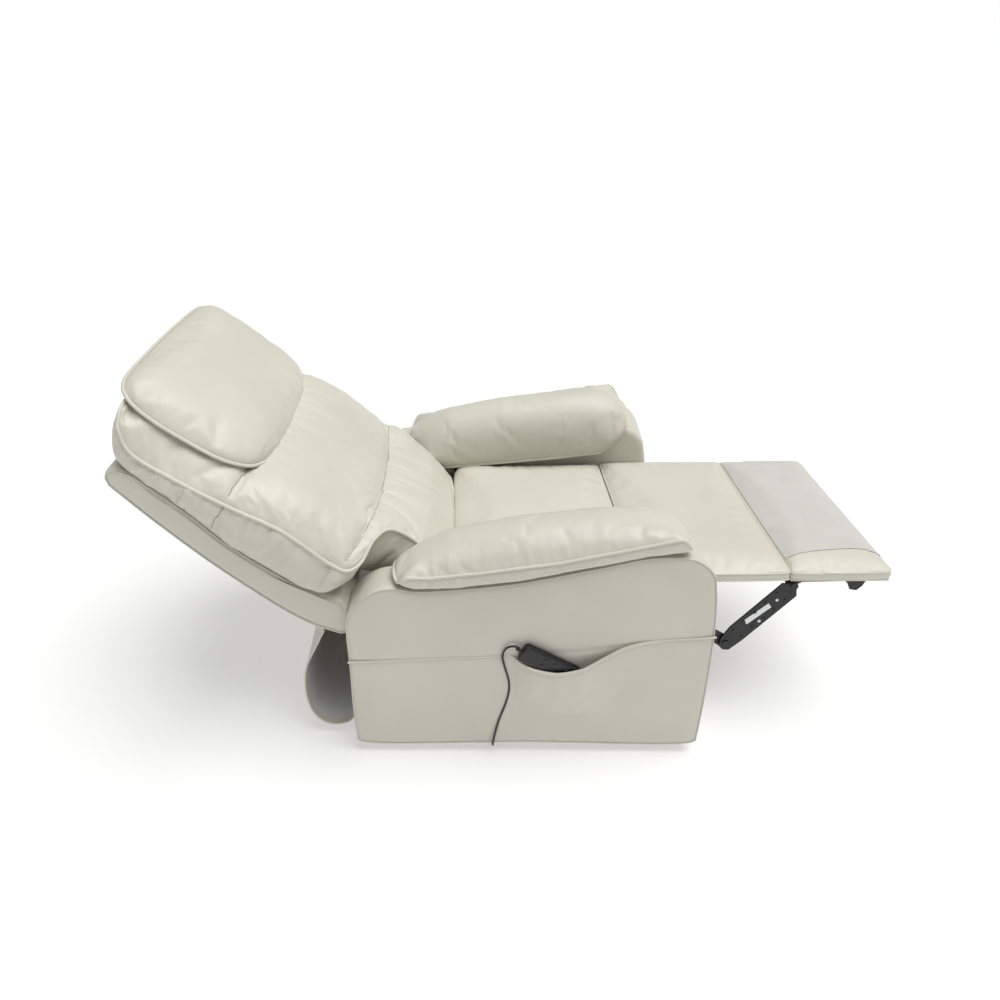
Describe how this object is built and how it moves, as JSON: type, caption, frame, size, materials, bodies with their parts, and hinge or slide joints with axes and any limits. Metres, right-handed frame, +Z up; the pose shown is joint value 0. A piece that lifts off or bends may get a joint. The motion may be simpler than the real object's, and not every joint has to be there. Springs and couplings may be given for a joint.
{
  "type": "power lift massage recliner",
  "caption": "Padded power-lift massage recliner, leaning back with its footrest out, on a steel lift base, with a corded handset in a side pocket.",
  "frame": {"origin": "on the floor under the middle of the base's centre foot", "axes": "+X is forward, out over the footrest; +Y is the sitter's left; +Z is up"},
  "size_m": [1.7838, 0.865, 0.9831],
  "materials": {
    "cream_leather": "soft satin coated leather with a fine pebble grain",
    "cream_cushion": "soft satin coated leather over padding, piped seams",
    "frame_wood": "raw plywood",
    "base_steel": "black powder coat",
    "link_steel": "black satin paint",
    "zinc_steel": "zinc plated",
    "spring_steel": "drawn wire",
    "rubber_feet": "matte rubber",
    "actuator_plastic": "fine spark texture",
    "weight_brass": "turned",
    "black_cloth": "non-woven cloth",
    "handset_plastic": "satin moulded plastic",
    "circuit_board": "solder mask",
    "cord_rubber": "smooth satin sheath",
    "button_grey": "satin moulded plastic"
  },
  "bodies": {
    "base": {"base_frame": "base_steel", "foot_pads": "rubber_feet", "base_pins": "zinc_steel"},
    "lift_arms": {"lift_arms": "base_steel"},
    "rear_lift_links": {"rear_lift_links": "base_steel"},
    "lift_motor": {"lift_motor": "actuator_plastic"},
    "lift_rod": {"lift_rod": "zinc_steel"},
    "chassis": {"side_plate_left": "link_steel", "side_plate_right": "link_steel", "cross_tubes": "link_steel", "pivot_pins": "zinc_steel", "chassis_bolts": "zinc_steel", "seat_frame": "frame_wood", "seat_springs": "spring_steel", "seat_deck": "black_cloth", "seat_cushion": "cream_cushion", "seat_massagers": "actuator_plastic", "chaise_pad": "cream_cushion", "arm_frame_left": "frame_wood", "arm_frame_right": "frame_wood", "arm_cover_left": "cream_leather", "arm_cover_right": "cream_leather", "arm_pillow_left": "cream_cushion", "arm_pillow_right": "cream_cushion", "cross_rails": "frame_wood", "side_pocket": "cream_leather", "control_box": "actuator_plastic", "power_supply": "actuator_plastic", "handset_case": "handset_plastic", "handset_board": "circuit_board", "handset_gland": "handset_plastic", "cord_grommet": "handset_plastic", "handset_cord": "cord_rubber", "rear_skirt": "cream_leather"},
    "back": {"back_frame": "frame_wood", "back_springs": "spring_steel", "back_shell": "cream_leather", "back_cushion": "cream_cushion", "back_brackets": "link_steel", "back_massagers": "actuator_plastic"},
    "headrest": {"headrest_pillow": "cream_cushion"},
    "recline_motor": {"recline_motor": "actuator_plastic"},
    "recline_rod": {"recline_rod": "zinc_steel"},
    "sequence_rods": {"sequence_rods": "link_steel"},
    "footrest_rear": {"footrest_rear_links": "link_steel"},
    "footrest_front": {"footrest_front_links": "link_steel"},
    "ottoman": {"ottoman_board": "frame_wood", "ottoman_pad": "cream_cushion", "ottoman_brackets": "link_steel", "leg_massagers": "actuator_plastic"},
    "seat_weights": {"seat_weights": "weight_brass"},
    "lumbar_weights": {"lumbar_weights": "weight_brass"},
    "shoulder_weights": {"shoulder_weights": "weight_brass"},
    "leg_weights": {"leg_weights": "weight_brass"},
    "button_recline": {"button_recline": "button_grey"},
    "button_raise": {"button_raise": "button_grey"},
    "button_massage": {"button_massage": "button_grey"},
    "button_heat": {"button_heat": "button_grey"},
    "button_mode": {"button_mode": "button_grey"},
    "button_strength": {"button_strength": "button_grey"}
  },
  "joints": [
    {"name": "lift_swing", "type": "hinge", "parent": "base", "child": "lift_arms", "pos_m": [0.22, 0, 0.055], "axis": [0, 1, 0], "range_deg": [0, 58]},
    {"name": "chassis_tilt", "type": "hinge", "parent": "lift_arms", "child": "chassis", "pos_m": [-0.08, 0, 0.105], "axis": [0, 1, 0], "range_deg": [-34.8, 0]},
    {"name": "rear_link_swing", "type": "hinge", "parent": "base", "child": "rear_lift_links", "pos_m": [0.166, 0, 0.075], "axis": [0, 1, 0], "range_deg": [0, 51.8]},
    {"name": "lift_motor_swing", "type": "hinge", "parent": "base", "child": "lift_motor", "pos_m": [-0.262, 0, 0.075], "axis": [0, 1, 0], "range_deg": [-0.27, 0]},
    {"name": "lift_rod_slide", "type": "slide", "parent": "lift_motor", "child": "lift_rod", "axis": [0.9979, 0, 0.065], "range_m": [0, 0.05814]},
    {"name": "back_recline", "type": "hinge", "parent": "chassis", "child": "back", "pos_m": [-0.25, 0, 0.4], "axis": [0, 1, 0], "range_deg": [0, 35], "deforming": ["chaise_pad", "rear_skirt"]},
    {"name": "recline_motor_swing", "type": "hinge", "parent": "chassis", "child": "recline_motor", "pos_m": [0.175, 0, 0.262], "axis": [0, 1, 0], "range_deg": [-0.6, 0]},
    {"name": "recline_rod_slide", "type": "slide", "parent": "recline_motor", "child": "recline_rod", "axis": [-0.9982, 0, 0.0605], "range_m": [0, 0.0721]},
    {"name": "sequence_swing", "type": "hinge", "parent": "back", "child": "sequence_rods", "pos_m": [-0.21391, 0, 0.28555], "axis": [0, 1, 0], "range_deg": [-35, 0]},
    {"name": "footrest_swing", "type": "hinge", "parent": "chassis", "child": "footrest_rear", "pos_m": [0.365, 0, 0.301], "axis": [0, 1, 0], "range_deg": [0, 119.91]},
    {"name": "footrest_knee", "type": "hinge", "parent": "footrest_rear", "child": "footrest_front", "pos_m": [0.5, 0, 0.216], "axis": [0, 1, 0], "range_deg": [-113.99, 0]},
    {"name": "ottoman_tilt", "type": "hinge", "parent": "footrest_front", "child": "ottoman", "pos_m": [0.64, 0, 0.388], "axis": [0, 1, 0], "range_deg": [0, 84.09]},
    {"name": "headrest_flip", "type": "hinge", "parent": "back", "child": "headrest", "pos_m": [-0.86935, 0, 0.93592], "axis": [0, -1, 0], "range_deg": [0, 110]},
    {"name": "seat_motor_spin", "type": "hinge", "parent": "chassis", "child": "seat_weights", "pos_m": [0.09, 0, 0.352], "axis": [0, 1, 0], "continuous": true},
    {"name": "lumbar_motor_spin", "type": "hinge", "parent": "back", "child": "lumbar_weights", "pos_m": [-0.54391, 0, 0.438], "axis": [0, 1, 0], "continuous": true},
    {"name": "shoulder_motor_spin", "type": "hinge", "parent": "back", "child": "shoulder_weights", "pos_m": [-0.74091, 0, 0.59192], "axis": [0, 1, 0], "continuous": true},
    {"name": "leg_motor_spin", "type": "hinge", "parent": "ottoman", "child": "leg_weights", "pos_m": [0.745, 0, 0.4265], "axis": [0, 1, 0], "continuous": true},
    {"name": "press_recline", "type": "slide", "parent": "chassis", "child": "button_recline", "axis": [0, 1, 0], "range_m": [0, 0.0008], "stiffness_N_per_m": 600, "springref_m": -0.0008},
    {"name": "press_raise", "type": "slide", "parent": "chassis", "child": "button_raise", "axis": [0, 1, 0], "range_m": [0, 0.0008], "stiffness_N_per_m": 600, "springref_m": -0.0008},
    {"name": "press_massage", "type": "slide", "parent": "chassis", "child": "button_massage", "axis": [0, 1, 0], "range_m": [0, 0.0008], "stiffness_N_per_m": 600, "springref_m": -0.0008},
    {"name": "press_heat", "type": "slide", "parent": "chassis", "child": "button_heat", "axis": [0, 1, 0], "range_m": [0, 0.0008], "stiffness_N_per_m": 600, "springref_m": -0.0008},
    {"name": "press_mode", "type": "slide", "parent": "chassis", "child": "button_mode", "axis": [0, 1, 0], "range_m": [0, 0.0008], "stiffness_N_per_m": 600, "springref_m": -0.0008},
    {"name": "press_strength", "type": "slide", "parent": "chassis", "child": "button_strength", "axis": [0, 1, 0], "range_m": [0, 0.0008], "stiffness_N_per_m": 600, "springref_m": -0.0008}
  ],
  "couplings": [
    {"joint": "chassis_tilt", "follows": "lift_swing", "ratio": -0.6},
    {"joint": "rear_link_swing", "follows": "lift_swing", "ratio": 0.8929},
    {"joint": "lift_motor_swing", "follows": "lift_swing", "ratio": -0.0045},
    {"joint": "lift_rod_slide", "follows": "lift_swing", "m_per_rad": 0.057431},
    {"joint": "recline_motor_swing", "follows": "back_recline", "ratio": -0.01547},
    {"joint": "recline_rod_slide", "follows": "back_recline", "m_per_rad": 0.11796},
    {"joint": "sequence_swing", "follows": "back_recline", "ratio": -1},
    {"joint": "footrest_swing", "follows": "back_recline", "ratio": 3.4258},
    {"joint": "footrest_knee", "follows": "back_recline", "ratio": -3.2568},
    {"joint": "ottoman_tilt", "follows": "back_recline", "ratio": 2.4023}
  ]
}
